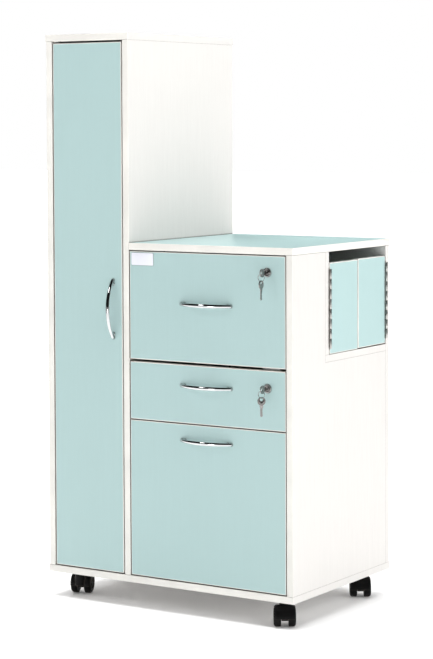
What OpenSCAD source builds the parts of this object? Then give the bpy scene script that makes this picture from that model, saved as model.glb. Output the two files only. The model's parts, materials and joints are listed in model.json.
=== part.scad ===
// Ward bedside combination on castors: a tall narrow wardrobe beside a cabinet with two lockable
// drawers, a deep drawer and a side niche behind a pair of small doors.
// X runs across the front, Y runs from the front to the back, Z is up, and the floor is at 0.

/* [Overall] */
// Width over the wardrobe and the cabinet
overall_w = 745; // [720:1:780]
// Depth of the base and of the tops
depth = 500; // [490:1:520]
// Height of the wardrobe above the floor
wardrobe_h = 1474; // [1400:1:1540]
// Height of the cabinet above the floor
cabinet_h = 939; // [930:1:960]
// Outside width of the wardrobe
wardrobe_w = 260; // [250:1:280]
// Height of the base above the floor
castor_h = 66; // [66:1:66]

/* [Boards] */
// Thickness of the boards
board = 18; // [18:1:18]
// Thickness of the plastic edging
edge_t = 2; // [2:0.5:2]
// Overhang of the base and the wardrobe top at the left
side_overhang = 3; // [0:1:6]
// Overhang of the base and the tops at the back
rear_overhang = 5; // [2:1:8]
// Thickness of the wardrobe back
thin_back = 8; // [6:1:10]
// Depth of the compartment behind the top front, from the front to its rear wall
front_bay = 161; // [161:1:180]
// Height of the niche floor's underside above the base board's underside
niche_rise = 579; // [579:1:579]

/* [Fronts] */
// Set-back of the fronts from the carcass edge
recess = 1; // [0.5:0.5:2]
// Gap at each side of the drawer fronts
side_gap = 2; // [1.5:0.5:3]
// Gap between the lower fronts and below them
reveal = 2.5; // [2:0.5:3]
// Dark gap below the top front
wide_gap = 7; // [6:1:8]
// Height of the bottom front
bottom_front_h = 400; // [400:1:400]
// Height of the middle front
middle_front_h = 147; // [147:1:147]
// Gap at the hinge side of the wardrobe door
hinge_gap = 3.5; // [3.5:0.5:4]
// Gap above the wardrobe door
door_top_gap = 5; // [4:1:6]

/* [Handles] */
// Overall length of a bow handle
handle_l = 156; // [150:1:160]
// Distance between its screw centres
handle_pitch = 128; // [128:1:128]
// Reach of the handle in front of its panel
handle_reach = 30; // [26:1:32]
// Thickness of the bow
handle_d = 8; // [6:1:9]

/* [Locks and keys] */
// Diameter of the lock's face ring
lock_ring_d = 22; // [20:1:24]
// Diameter of the key's bow
key_bow_d = 21; // [20:1:22]
// Distance from the panel to the centre of the inserted key's bow
key_bow_out = 24; // [23:1:26]
// Mean radius of the key ring
key_ring_r = 9; // [9:0.5:10]

/* [Castors] */
// Diameter of a castor wheel
wheel_d = 50; // [50:1:50]
// Width of one wheel
wheel_w = 18; // [16:1:18]
// Gap between the two wheels
wheel_gap = 19; // [19:1:20]
// Distance from the swivel axis to the axle
trail = 22; // [20:1:22]

/* [Hidden] */
$fn = 48;
eps = 0.05;

// ---- carcass lines
base_z1 = castor_h + board;
wtop_z0 = wardrobe_h - board;
ctop_z0 = cabinet_h - board;
back_y1 = depth - rear_overhang;
back_y0 = back_y1 - board;
div_x0 = wardrobe_w - board;
side_x0 = overall_w - board;
wall_y1 = front_bay + board;
niche_z0 = castor_h + niche_rise;
niche_z1 = niche_z0 + board;
niche_cy = (wall_y1 + back_y0) / 2;

// ---- fronts
front_y0 = recess;
front_y1 = recess + board;
front_x0 = wardrobe_w + side_gap;
front_x1 = side_x0 - side_gap;
front_cx = (front_x0 + front_x1) / 2;
bottom_z0 = base_z1 + reveal;
bottom_z1 = bottom_z0 + bottom_front_h;
middle_z0 = bottom_z1 + reveal;
middle_z1 = middle_z0 + middle_front_h;
top_z0 = middle_z1 + wide_gap;
top_z1 = ctop_z0 - reveal;

// ---- wardrobe door
door_x0 = board + hinge_gap;
door_x1 = div_x0 - hinge_gap;
door_z0 = base_z1 + reveal;
door_z1 = wtop_z0 - door_top_gap;
pivot_x = door_x0 + board / 2;
pivot_y = recess + board / 2;
pivot_r = 4;
pivot_grip = 20;
bush_r = 7;
bush_h = 10;
bush_flange_r = 9;
bush_flange_h = 1;
catch_z = 1000;
catch_w = 15;
catch_plate_t = 1;

// ---- wardrobe fittings
shelf_z0 = 1250;
shelf_set_back = 25;
rail_r = 12.5;
rail_z = 1212;
rail_y = 245;
socket_r = 19;
socket_t = 9;

// ---- handles: places on the panels
wardrobe_handle_x = 210;
wardrobe_handle_z = 768;
top_handle_z = 789.5;
middle_handle_z = 584;
bottom_handle_z = 445.5;
screw_r = 1.95;
screw_hole_r = 2;
screw_head_r = 4;
screw_head_h = 2.5;

// ---- locks
lock_x = 673;
top_lock_z = 877.7;
middle_lock_z = 592.2;
barrel_r = 9;
plug_r = 6;
ring_proud = 2.5;
lock_nut_r = 12;
lock_nut_t = 4;
cam_l = 38;
cam_w = 14;
cam_t = 3;
keeper_gap = 2.2;
keeper_drop = 16;
keeper_w = 50;
keeper_t = 1.5;
key_t = 2;
key_neck_w = 8;
key_hole_r = 4;
key_wire_r = 0.7;
spare_blade_l = 28;
key_hole_rim = 2;
key_hole_off = key_bow_d / 2 - key_hole_r - key_hole_rim;
key_hole_out = key_bow_out + key_hole_off;
key_below_hole = (key_hole_r + sqrt(pow(key_bow_d / 2, 2) - pow(key_hole_off, 2))) / 2;
ring_hang = 5.1;
ring_to_spare = 2.6;

// ---- drawers: boxes, slides and travel
box_gap = 13.5;
box_t = 12;
box_base_t = 6;
box_base_up = 8;
slide_h = 45;
slide_t = 1.5;
slide_reach = 10;
slide_play = 0.6;
slide_set_back = 3;
top_box_d = 128;
deep_box_d = 400;
box_x0 = wardrobe_w + box_gap;
box_x1 = side_x0 - box_gap;

// ---- label plate on the top front
label_w = 67;
label_h = 31.5;
label_t = 1.2;
label_x0 = front_x0 + 6;
label_z1 = top_z1 - 4;

// ---- niche doors and their piano hinges
niche_door_h = 229;
niche_door_gap = 3;
seam_gap = 3.6;
front_niche_lift = 0.8;
rear_niche_lift = 2.4;
knuckle_r = 3;
knuckle_l = 25;
knuckles = 8;
knuckle_play = 0.3;
knuckle_out = 3.4;
hinge_pin_r = 1.2;
leaf_t = 1;
leaf_w = 15;
hinge_z0 = 678;
hinge_l = knuckles * knuckle_l;
front_hinge_y = wall_y1 + niche_door_gap / 2;
rear_hinge_y = back_y0 - niche_door_gap / 2;
hinge_x = overall_w + knuckle_out;

// ---- castors: place and turn of each, front left, front right, rear left, rear right
castor_in_x = 58;
castor_front_y = 55;
castor_rear_y = 440;
castor_turn = [200, 33, 33, 33];
castor_at = [
    [castor_in_x, castor_front_y],
    [overall_w - castor_in_x, castor_front_y],
    [castor_in_x, castor_rear_y],
    [overall_w - castor_in_x, castor_rear_y]
];
axle_z = wheel_d / 2;
axle_r = 3;
king_r = 5;
fit_play = 0.05;
plate_size = 42;
plate_t = 2.5;
race_z = 60.5;
hood_r = axle_z + 4;
hood_round = 9;
tyre_round = 7;
wheel_play = 1.3;
wheel_x0 = wheel_gap / 2;
wheel_x1 = wheel_x0 + wheel_w;
hood_half_w = wheel_x1 + 0.5;
web_half_w = wheel_x0 - 1;
web_half_l = 21;
web_z0 = 17;
fender_z0 = 24;
collar_r = 13;

// ---- the part stands on the middle of its own box
front_most = front_y0 - key_hole_out - key_bow_d / 2;
right_most = hinge_x + knuckle_r;
mid_x = (right_most - side_overhang) / 2;
mid_y = (front_most + depth) / 2;

white = "#efece6";
aqua = "#a9c6c6";
edging_white = "#e8e5df";
steel = "silver";
plastic_black = "#161616";

// ======== shared shapes

// Everything is drawn from the wardrobe's left face and then centred.
module placed() {
    translate([-mid_x, -mid_y, 0]) children();
}

// A box between two corners.
module block(low, high) {
    translate(low) cube(high - low);
}

// A cylinder along Y from y0 to y1.
module rod_y(x, z, r, y0, y1) {
    translate([x, y0, z]) rotate([-90, 0, 0]) cylinder(r = r, h = y1 - y0);
}

// A ring of edging round a panel that stands in the XZ plane.
module edging_frame(x0, x1, z0, z1) {
    difference() {
        block([x0, front_y0, z0], [x1, front_y1, z1]);
        block([x0 + edge_t, front_y0 - 1, z0 + edge_t], [x1 - edge_t, front_y1 + 1, z1 - edge_t]);
    }
}

// The board inside that ring.
module front_board(x0, x1, z0, z1) {
    block([x0 + edge_t, front_y0, z0 + edge_t], [x1 - edge_t, front_y1, z1 - edge_t]);
}

// Holes for a handle's two screws, with the bow across or upright.
module handle_holes(x, z, upright = false) {
    for (s = [-1, 1]) {
        hx = upright ? x : x + s * handle_pitch / 2;
        hz = upright ? z + s * handle_pitch / 2 : z;
        rod_y(hx, hz, screw_hole_r, front_y0 - 1, front_y1 + 1);
    }
}

// Bow handle along X, on the plane y = 0, with its two screws behind it.
module bow_handle() {
    half = handle_l / 2 - handle_d / 2;
    rise = handle_reach - handle_d;
    bow_r = (half * half + rise * rise) / (2 * rise);
    sweep = asin(half / bow_r);
    foot_x = handle_pitch / 2;
    centre_y = bow_r - handle_reach + handle_d / 2;
    foot_y = centre_y - sqrt(bow_r * bow_r - foot_x * foot_x);
    difference() {
        union() {
            translate([0, centre_y, 0])
                rotate([0, 0, 270 - sweep])
                rotate_extrude(angle = 2 * sweep, $fn = 120)
                translate([bow_r, 0]) circle(d = handle_d);
            for (s = [-1, 1])
                translate([s * half, -handle_d / 2, 0]) sphere(d = handle_d - 0.8);
            for (s = [-1, 1])
                rod_y(s * foot_x, 0, handle_d / 2 - 0.5, foot_y, 0);
        }
        for (s = [-1, 1])
            rod_y(s * foot_x, 0, screw_hole_r, foot_y + 2, 1);
    }
    for (s = [-1, 1]) {
        rod_y(s * foot_x, 0, screw_r, foot_y + 2 + eps, board + 1);
        rod_y(s * foot_x, 0, screw_head_r, board + eps, board + screw_head_h);
    }
}

module placed_handle(x, z, upright = false) {
    placed() translate([x, front_y0, z]) rotate([0, upright ? 90 : 0, 0]) bow_handle();
}

// ======== carcass

module base_panel() {
    color(white) placed() difference() {
        block([-side_overhang, edge_t, castor_h], [overall_w, depth, base_z1]);
        translate([pivot_x, pivot_y, base_z1 - bush_h]) cylinder(r = bush_r, h = bush_h + 1);
    }
}

module wardrobe_side() {
    color(white) placed() block([0, edge_t, base_z1], [board, back_y1, wtop_z0]);
}

module divider_panel() {
    color(white) placed() block([div_x0, edge_t, base_z1], [wardrobe_w, back_y1, wtop_z0]);
}

module wardrobe_top() {
    color(white) placed() difference() {
        block([-side_overhang, edge_t, wtop_z0], [wardrobe_w, depth, wardrobe_h]);
        translate([pivot_x, pivot_y, wtop_z0 - 1]) cylinder(r = bush_r, h = bush_h + 1);
    }
}

module wardrobe_back() {
    color(white) placed() block([board, back_y1 - thin_back, base_z1], [div_x0, back_y1, wtop_z0]);
}

module wardrobe_shelf() {
    color(white) placed()
        block([board, shelf_set_back, shelf_z0], [div_x0, back_y1 - thin_back, shelf_z0 + board]);
}

// The rail across the wardrobe with a cup socket at each end.
module hanging_rail() {
    color(steel) placed() {
        translate([board + 2, rail_y, rail_z]) rotate([0, 90, 0])
            cylinder(r = rail_r, h = div_x0 - board - 4);
        for (x = [board, div_x0 - socket_t]) difference() {
            translate([x, rail_y, rail_z]) rotate([0, 90, 0]) cylinder(r = socket_r, h = socket_t);
            translate([board + 2 - eps, rail_y, rail_z]) rotate([0, 90, 0])
                cylinder(r = rail_r + fit_play, h = div_x0 - board - 4 + 2 * eps);
        }
    }
}

// Full height beside the top drawer, cut away below the niche floor behind it.
module cabinet_side() {
    color(white) placed() translate([side_x0, 0, 0]) rotate([90, 0, 90])
        linear_extrude(board) polygon([
            [edge_t, base_z1], [back_y0, base_z1], [back_y0, niche_z0],
            [front_bay, niche_z0], [front_bay, ctop_z0], [edge_t, ctop_z0]
        ]);
}

module worktop() {
    color(aqua) placed()
        block([wardrobe_w, edge_t, ctop_z0], [overall_w - edge_t, depth - edge_t, cabinet_h]);
}

module cabinet_back() {
    color(white) placed() block([wardrobe_w, back_y0, base_z1], [overall_w, back_y1, ctop_z0]);
}

// Reaches the outer face behind the front part of the side.
module niche_floor() {
    color(white) placed() translate([0, 0, niche_z0]) linear_extrude(board) polygon([
        [wardrobe_w, front_y1 + 2], [side_x0, front_y1 + 2], [side_x0, front_bay],
        [overall_w, front_bay], [overall_w, back_y0], [wardrobe_w, back_y0]
    ]);
}

module niche_wall() {
    color(white) placed() block([wardrobe_w, front_bay, niche_z1], [overall_w, wall_y1, ctop_z0]);
}

// White plastic on the front edges of the boards and round the worktop.
module carcass_edging() {
    color(edging_white) placed() {
        block([-side_overhang, 0, castor_h], [overall_w, edge_t, base_z1]);
        block([-side_overhang, 0, wtop_z0], [wardrobe_w, edge_t, wardrobe_h]);
        block([0, 0, base_z1], [board, edge_t, wtop_z0]);
        block([div_x0, 0, base_z1], [wardrobe_w, edge_t, wtop_z0]);
        block([side_x0, 0, base_z1], [overall_w, edge_t, ctop_z0]);
        block([wardrobe_w, 0, ctop_z0], [overall_w, edge_t, cabinet_h]);
        block([overall_w - edge_t, edge_t, ctop_z0], [overall_w, depth, cabinet_h]);
        block([wardrobe_w, depth - edge_t, ctop_z0], [overall_w - edge_t, depth, cabinet_h]);
    }
}

// Steel angles that the lock cams rise behind.
module lock_keepers() {
    keeper_y = front_y1 + keeper_gap;
    color(steel) placed() for (z = [ctop_z0, niche_z0]) {
        block([lock_x - keeper_w / 2, keeper_y, z - keeper_drop],
              [lock_x + keeper_w / 2, keeper_y + keeper_t, z]);
        block([lock_x - keeper_w / 2, keeper_y + keeper_t, z - keeper_t],
              [lock_x + keeper_w / 2, keeper_y + 20, z]);
    }
}

// ======== wardrobe door

module wardrobe_door() {
    color(aqua) placed() difference() {
        front_board(door_x0, door_x1, door_z0, door_z1);
        handle_holes(wardrobe_handle_x, wardrobe_handle_z, upright = true);
        for (z = [door_z0 - 1, door_z1 - pivot_grip])
            translate([pivot_x, pivot_y, z]) cylinder(r = pivot_r, h = pivot_grip + 1);
    }
}

// The hinge side is rounded, so that it turns clear of the wardrobe's side.
module wardrobe_door_edging() {
    color(edging_white) placed() difference() {
        edging_frame(door_x0, door_x1, door_z0, door_z1);
        for (y = [front_y0, front_y1 - edge_t])
            translate([door_x0 - eps, y - eps, door_z0 - 1])
                cube([edge_t + eps, edge_t + 2 * eps, door_z1 - door_z0 + 2]);
        for (z = [door_z0 - 1, door_z1 - edge_t - 1])
            translate([pivot_x, pivot_y, z]) cylinder(r = pivot_r + fit_play, h = edge_t + 2);
    }
    color(edging_white) placed() for (y = [front_y0 + edge_t, front_y1 - edge_t])
        intersection() {
            translate([door_x0 + edge_t, y, door_z0])
                cylinder(r = edge_t, h = door_z1 - door_z0);
            block([door_x0, front_y0, door_z0], [door_x0 + edge_t, front_y1, door_z1]);
        }
}

// Steel pins pressed into the top and bottom of the door.
module door_pivot_pins() {
    color(steel) placed() {
        translate([pivot_x, pivot_y, base_z1 - bush_h + 1])
            cylinder(r = pivot_r, h = door_z0 + pivot_grip - base_z1 + bush_h - 1);
        translate([pivot_x, pivot_y, door_z1 - pivot_grip])
            cylinder(r = pivot_r, h = wtop_z0 + bush_h - 1 - door_z1 + pivot_grip);
    }
}

// Flanged bushes for the pins, in the base and in the wardrobe top.
module pivot_bushes() {
    color("white") placed() translate([pivot_x, pivot_y, 0]) difference() {
        union() {
            translate([0, 0, base_z1 - bush_h]) cylinder(r = bush_r, h = bush_h);
            translate([0, 0, base_z1]) cylinder(r = bush_flange_r, h = bush_flange_h);
            translate([0, 0, wtop_z0]) cylinder(r = bush_r, h = bush_h);
            translate([0, 0, wtop_z0 - bush_flange_h])
                cylinder(r = bush_flange_r, h = bush_flange_h);
        }
        cylinder(r = pivot_r + fit_play, h = wardrobe_h);
    }
}

module magnetic_catch() {
    catch_y = front_y1 + catch_plate_t + 0.5;
    color(plastic_black) placed()
        block([div_x0 - catch_w, catch_y, catch_z - 22], [div_x0, catch_y + 26, catch_z + 22]);
}

module catch_plate() {
    color(steel) placed()
        block([door_x1 - catch_w, front_y1, catch_z - 16],
              [door_x1 - edge_t, front_y1 + catch_plate_t, catch_z + 16]);
}

module wardrobe_handle() {
    color(steel) placed_handle(wardrobe_handle_x, wardrobe_handle_z, upright = true);
}

// ======== drawers

module drawer_front(z0, z1, handle_z, lock_z = 0) {
    color(aqua) placed() difference() {
        front_board(front_x0, front_x1, z0, z1);
        handle_holes(front_cx, handle_z);
        if (lock_z > 0) rod_y(lock_x, lock_z, barrel_r, front_y0 - 1, front_y1 + 1);
    }
}

module drawer_edging(z0, z1) {
    color(edging_white) placed() edging_frame(front_x0, front_x1, z0, z1);
}

// Four walls with a groove, and a base panel in the groove.
module drawer_box(z0, z1, d) {
    y0 = front_y1;
    y1 = front_y1 + d;
    base_z = z0 + box_base_up;
    groove = box_t / 2;
    color("white") placed() {
        difference() {
            block([box_x0, y0, z0], [box_x1, y1, z1]);
            block([box_x0 + box_t, y0 + box_t, z0 - 1], [box_x1 - box_t, y1 - box_t, z1 + 1]);
            block([box_x0 + groove, y0 + groove, base_z],
                  [box_x1 - groove, y1 - groove, base_z + box_base_t]);
            for (x = [front_cx - handle_pitch / 2, front_cx + handle_pitch / 2])
                for (z = [top_handle_z, middle_handle_z, bottom_handle_z])
                    rod_y(x, z, screw_head_r + 1, y0 - 1, y0 + screw_head_h + 1);
        }
        block([box_x0 + groove + eps, y0 + groove + eps, base_z + eps],
              [box_x1 - groove - eps, y1 - groove - eps, base_z + box_base_t - eps]);
    }
}

// Channel of a slide, open towards +X, with its web on the plane x = 0.
module slide_channel(half_h, reach, y0, y1) {
    difference() {
        block([0, y0, -half_h], [reach, y1, half_h]);
        block([slide_t, y0 - 1, slide_t - half_h], [reach + 1, y1 + 1, half_h - slide_t]);
    }
}

// The channels on the carcass, one each side of every drawer.
module fixed_slides() {
    y0 = front_y1 + slide_set_back;
    levels = [top_slide_z, middle_slide_z, bottom_slide_z];
    lengths = [front_bay - y0 - 4, deep_box_d, deep_box_d];
    color(steel) placed() for (i = [0:2]) {
        translate([wardrobe_w, 0, levels[i]]) slide_channel(slide_h / 2, slide_reach, y0, y0 + lengths[i]);
        translate([side_x0, 0, levels[i]]) mirror([1, 0, 0])
            slide_channel(slide_h / 2, slide_reach, y0, y0 + lengths[i]);
    }
}

// The channels on a drawer box, which run inside the fixed ones.
module drawer_slides(z, d) {
    y0 = front_y1 + slide_set_back;
    half_h = slide_h / 2 - slide_t - slide_play;
    reach = box_gap - slide_t - slide_play;
    color(steel) placed() translate([0, 0, z]) {
        translate([box_x0, 0, 0]) mirror([1, 0, 0]) slide_channel(half_h, reach, y0, y0 + d);
        translate([box_x1, 0, 0]) slide_channel(half_h, reach, y0, y0 + d);
    }
}

// Where each box and its slides sit on its front.
top_box = [top_z0 + 24, top_z0 + 215];
middle_box = [middle_z0 + 10, middle_z0 + 82];
bottom_box = [bottom_z0 + 14, bottom_z0 + 320];
top_slide_z = top_box[0] + 40;
middle_slide_z = middle_box[0] + 36;
bottom_slide_z = bottom_box[0] + 150;

module label_plate() {
    color("gainsboro") placed()
        block([label_x0, front_y0 - label_t, label_z1 - label_h],
              [label_x0 + label_w, front_y0, label_z1]);
}

// ======== locks and keys

// Face ring, barrel through the front, and the nut behind it.
module lock_housing(z) {
    color(steel) placed() difference() {
        union() {
            rod_y(lock_x, z, lock_ring_d / 2, front_y0 - ring_proud, front_y0);
            rod_y(lock_x, z, barrel_r, front_y0, front_y1 + lock_nut_t);
            rod_y(lock_x, z, lock_nut_r, front_y1, front_y1 + lock_nut_t);
        }
        rod_y(lock_x, z, plug_r + fit_play, front_y0 - ring_proud - 1, front_y1 + lock_nut_t + 1);
    }
}

// Flat key in the YZ plane: the bow's centre at the origin, the blade along +Y.
module flat_key(blade_l) {
    rotate([90, 0, 90]) translate([0, 0, -key_t / 2]) linear_extrude(key_t) difference() {
        union() {
            circle(d = key_bow_d);
            translate([0, -key_neck_w / 2]) square([key_bow_d / 2 + blade_l, key_neck_w]);
        }
        translate([-key_hole_off, 0]) circle(r = key_hole_r);
    }
}

// The plug, with the cam on its inner end and the key in its slot.
module lock_key(z) {
    plug_y0 = front_y0 - ring_proud - 0.5;
    plug_y1 = front_y1 + lock_nut_t + 1;
    color(steel) placed() translate([lock_x, 0, z]) {
        rod_y(0, 0, plug_r, plug_y0, plug_y1);
        translate([-cam_w / 2, plug_y1, -cam_w / 2]) cube([cam_l + cam_w / 2, cam_t, cam_w]);
        translate([0, front_y0 - key_bow_out, 0])
            flat_key(key_bow_out - key_bow_d / 2 - ring_proud);
    }
}

// Spare key on a wire ring, which goes through the inserted key's hole and round the metal below it.
// The ring hangs from the middle of that metal, key_below_hole under the hole's centre.
module spare_key(z, key_turn) {
    ring_z = -key_below_hole - ring_hang;
    spare_z = ring_z - key_ring_r - ring_to_spare - key_hole_off;
    color(steel) placed() translate([lock_x, front_y0 - key_hole_out, z]) {
        translate([0, 0, ring_z]) rotate([90, 0, 0])
            rotate_extrude($fn = 64) translate([key_ring_r, 0]) circle(r = key_wire_r, $fn = 24);
        translate([0, 0, spare_z]) rotate([0, 0, key_turn]) rotate([-90, 0, 0])
            flat_key(spare_blade_l);
    }
}

// ======== niche doors on piano hinges

// A niche door from y0 to y1; the core sits inside its edging.
module niche_door(y0, y1, lift) {
    color(aqua) placed()
        block([side_x0, y0 + edge_t, niche_z1 + lift + edge_t],
              [overall_w, y1 - edge_t, niche_z1 + lift + niche_door_h - edge_t]);
}

module niche_edging(y0, y1, lift) {
    z0 = niche_z1 + lift;
    color(edging_white) placed() difference() {
        block([side_x0, y0, z0], [overall_w, y1, z0 + niche_door_h]);
        block([side_x0 - 1, y0 + edge_t, z0 + edge_t],
              [overall_w + 1, y1 - edge_t, z0 + niche_door_h - edge_t]);
    }
}

// One leaf of a piano hinge whose axis is at the origin. The leaf lies on the -Y side when side is -1
// and on the +Y side when side is 1, and its knuckles start with number first.
module hinge_leaf(side, first) {
    face = niche_door_gap / 2;
    low_y = side < 0 ? -face : face - leaf_t;
    difference() {
        union() {
            block([-knuckle_out - leaf_w, low_y, 0], [-knuckle_out - 0.3, low_y + leaf_t, hinge_l]);
            for (i = [first : 2 : knuckles - 1]) {
                z0 = i * knuckle_l + knuckle_play;
                z1 = (i + 1) * knuckle_l - knuckle_play;
                translate([0, 0, z0]) cylinder(r = knuckle_r, h = z1 - z0);
                block([-knuckle_out - 1, low_y, z0], [-knuckle_out + 1, low_y + leaf_t, z1]);
            }
        }
        translate([0, 0, -1]) cylinder(r = hinge_pin_r + fit_play, h = hinge_l + 2, $fn = 24);
    }
}

// The leaves on the carcass and the two pins.
module niche_hinge_frames() {
    color(steel) placed() for (item = [[front_hinge_y, -1], [rear_hinge_y, 1]])
        translate([hinge_x, item[0], hinge_z0]) {
            hinge_leaf(item[1], 0);
            cylinder(r = hinge_pin_r, h = hinge_l, $fn = 24);
        }
}

module niche_leaf(y, side) {
    color(steel) placed() translate([hinge_x, y, hinge_z0]) hinge_leaf(side, 1);
}

front_niche_y0 = wall_y1 + niche_door_gap;
front_niche_y1 = niche_cy - seam_gap / 2;
rear_niche_y0 = niche_cy + seam_gap / 2;
rear_niche_y1 = back_y0 - niche_door_gap;

// ======== castors

// Fixing plates with their king pins, and four screws in each.
module castor_plates() {
    screw_at = plate_size / 2 - 6;
    color(steel) placed() for (at = castor_at) translate([at[0], at[1], 0]) {
        difference() {
            union() {
                translate([-plate_size / 2, -plate_size / 2, castor_h - plate_t])
                    cube([plate_size, plate_size, plate_t]);
                translate([0, 0, race_z + 0.5]) cylinder(r = 12, h = castor_h - plate_t - race_z - 0.5);
                translate([0, 0, race_z - 14]) cylinder(r = king_r, h = 14 + 1);
            }
            for (x = [-screw_at, screw_at], y = [-screw_at, screw_at])
                translate([x, y, castor_h - plate_t - 1]) cylinder(r = 2.2, h = plate_t + 2, $fn = 24);
        }
        for (x = [-screw_at, screw_at], y = [-screw_at, screw_at]) translate([x, y, 0]) {
            translate([0, 0, castor_h - plate_t - 2 - eps]) cylinder(r = 3.8, h = 2, $fn = 24);
            translate([0, 0, castor_h - plate_t - eps]) cylinder(r = 2, h = plate_t, $fn = 24);
        }
    }
}

// Outline of one wheel and what is round it: radius against distance from the castor's middle.
module round_outline(r, x0, x1, round) {
    square([r - round, x1]);
    square([r, x1 - round]);
    translate([r - round, x1 - round]) circle(r = round);
}

// That outline turned round the X axis, from x0 to x1.
module turned(r, x0, x1, round) {
    rotate([0, 90, 0]) rotate_extrude() intersection() {
        round_outline(r, x0, x1, round);
        translate([0, x0]) square([r, x1 - x0]);
    }
}

// Both wheels, or the space round them when grow is the play.
module wheel_pair(grow) {
    for (s = [0, 1]) mirror([s, 0, 0])
        turned(axle_z + grow, wheel_x0 - grow, wheel_x1 + grow, tyre_round + grow);
}

// Hood with its swivel axis at the origin and its axle at y = -trail: a fender over both wheels, a
// web between them and a collar round the king pin.
module castor_hood(i) {
    color(plastic_black) placed() translate([castor_at[i][0], castor_at[i][1], 0])
        rotate([0, 0, castor_turn[i]]) difference() {
            union() {
                intersection() {
                    translate([0, -trail, axle_z]) for (s = [0, 1]) mirror([s, 0, 0])
                        turned(hood_r, 0, hood_half_w, hood_round);
                    block([-hood_half_w, -trail - hood_r, fender_z0],
                          [hood_half_w, -trail + hood_r, race_z]);
                }
                block([-web_half_w, -trail - web_half_l, web_z0],
                      [web_half_w, -trail + web_half_l, axle_z + 8]);
                translate([0, 0, fender_z0]) cylinder(r = collar_r, h = race_z - fender_z0);
            }
            translate([0, -trail, axle_z]) wheel_pair(wheel_play);
            translate([-web_half_w - 1, -trail, axle_z]) rotate([0, 90, 0])
                cylinder(r = axle_r + fit_play, h = 2 * web_half_w + 2);
            translate([0, 0, race_z - 14.5]) cylinder(r = king_r + fit_play, h = 16);
        }
}

module castor_wheels(i) {
    color(plastic_black) placed() translate([castor_at[i][0], castor_at[i][1], 0])
        rotate([0, 0, castor_turn[i]]) translate([0, -trail, axle_z]) {
            wheel_pair(0);
            translate([-wheel_x0 - 1, 0, 0]) rotate([0, 90, 0])
                cylinder(r = axle_r, h = 2 * wheel_x0 + 2);
        }
}

// ======== nodes

base_panel();
wardrobe_side();
divider_panel();
wardrobe_top();
wardrobe_back();
wardrobe_shelf();
hanging_rail();
cabinet_side();
worktop();
cabinet_back();
niche_floor();
niche_wall();
carcass_edging();
fixed_slides();
pivot_bushes();
lock_keepers();
castor_plates();
niche_hinge_frames();
magnetic_catch();

wardrobe_door();
wardrobe_door_edging();
door_pivot_pins();
wardrobe_handle();
catch_plate();

drawer_front(top_z0, top_z1, top_handle_z, top_lock_z);  // top_drawer_front
drawer_edging(top_z0, top_z1);  // top_drawer_edging
drawer_box(top_box[0], top_box[1], top_box_d);  // top_drawer_box
drawer_slides(top_slide_z, top_box_d - 4);  // top_drawer_slides
color(steel) placed_handle(front_cx, top_handle_z);  // top_drawer_handle
label_plate();
lock_housing(top_lock_z);  // top_lock_housing

drawer_front(middle_z0, middle_z1, middle_handle_z, middle_lock_z);  // middle_drawer_front
drawer_edging(middle_z0, middle_z1);  // middle_drawer_edging
drawer_box(middle_box[0], middle_box[1], deep_box_d);  // middle_drawer_box
drawer_slides(middle_slide_z, deep_box_d - 4);  // middle_drawer_slides
color(steel) placed_handle(front_cx, middle_handle_z);  // middle_drawer_handle
lock_housing(middle_lock_z);  // middle_lock_housing

drawer_front(bottom_z0, bottom_z1, bottom_handle_z);  // bottom_drawer_front
drawer_edging(bottom_z0, bottom_z1);  // bottom_drawer_edging
drawer_box(bottom_box[0], bottom_box[1], deep_box_d);  // bottom_drawer_box
drawer_slides(bottom_slide_z, deep_box_d - 4);  // bottom_drawer_slides
color(steel) placed_handle(front_cx, bottom_handle_z);  // bottom_drawer_handle

lock_key(top_lock_z);  // top_lock_key
lock_key(middle_lock_z);  // middle_lock_key
spare_key(top_lock_z, 0);  // top_spare_key
spare_key(middle_lock_z, -40);  // middle_spare_key

niche_door(front_niche_y0, front_niche_y1, front_niche_lift);  // front_niche_door
niche_edging(front_niche_y0, front_niche_y1, front_niche_lift);  // front_niche_edging
niche_leaf(front_hinge_y, 1);  // front_niche_leaf
niche_door(rear_niche_y0, rear_niche_y1, rear_niche_lift);  // rear_niche_door
niche_edging(rear_niche_y0, rear_niche_y1, rear_niche_lift);  // rear_niche_edging
niche_leaf(rear_hinge_y, -1);  // rear_niche_leaf

castor_hood(0);  // front_left_hood
castor_hood(1);  // front_right_hood
castor_hood(2);  // rear_left_hood
castor_hood(3);  // rear_right_hood
castor_wheels(0);  // front_left_wheels
castor_wheels(1);  // front_right_wheels
castor_wheels(2);  // rear_left_wheels
castor_wheels(3);  // rear_right_wheels
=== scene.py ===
import json
import math

import bmesh
import bpy
from mathutils import Matrix, Vector


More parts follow.
